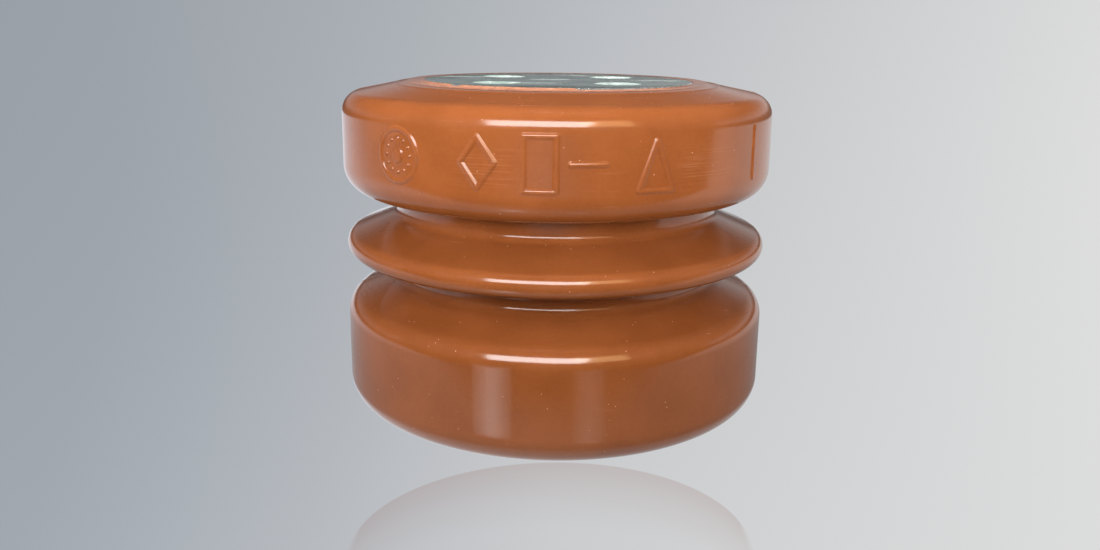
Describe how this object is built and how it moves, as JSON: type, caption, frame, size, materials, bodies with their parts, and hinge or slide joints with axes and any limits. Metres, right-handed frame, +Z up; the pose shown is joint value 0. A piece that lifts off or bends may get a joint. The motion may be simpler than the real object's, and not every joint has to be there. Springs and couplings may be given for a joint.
{
  "type": "post insulator",
  "caption": "Squat cast-resin post insulator with two thick ribs, a thin middle shed and a flush steel bolting plate in each end face.",
  "frame": {"origin": "centre of the bottom bolting face", "axes": "+Z up along the insulator's axis, from the bottom bolting face to the top one; -Y towards the side with the row of raised marks; the bolt holes lie at 45 degrees to X and Y"},
  "size_m": [0.1, 0.1005, 0.075],
  "materials": {
    "cast_resin": "glossy as-moulded reddish-brown epoxy casting resin",
    "zinc_plated_steel": "dull zinc plate with a grey-green tint, scratched, ground bright at the bevel",
    "turned_steel": "plain turned steel, cast in and out of sight"
  },
  "bodies": {
    "root": {"insulator_body": "cast_resin", "top_end_plate": "zinc_plated_steel", "top_anchor": "turned_steel", "top_socket_1": "turned_steel", "top_socket_2": "turned_steel", "top_socket_3": "turned_steel", "top_socket_4": "turned_steel", "bottom_end_plate": "zinc_plated_steel", "bottom_anchor": "turned_steel", "bottom_socket_1": "turned_steel", "bottom_socket_2": "turned_steel", "bottom_socket_3": "turned_steel", "bottom_socket_4": "turned_steel"}
  },
  "joints": []
}
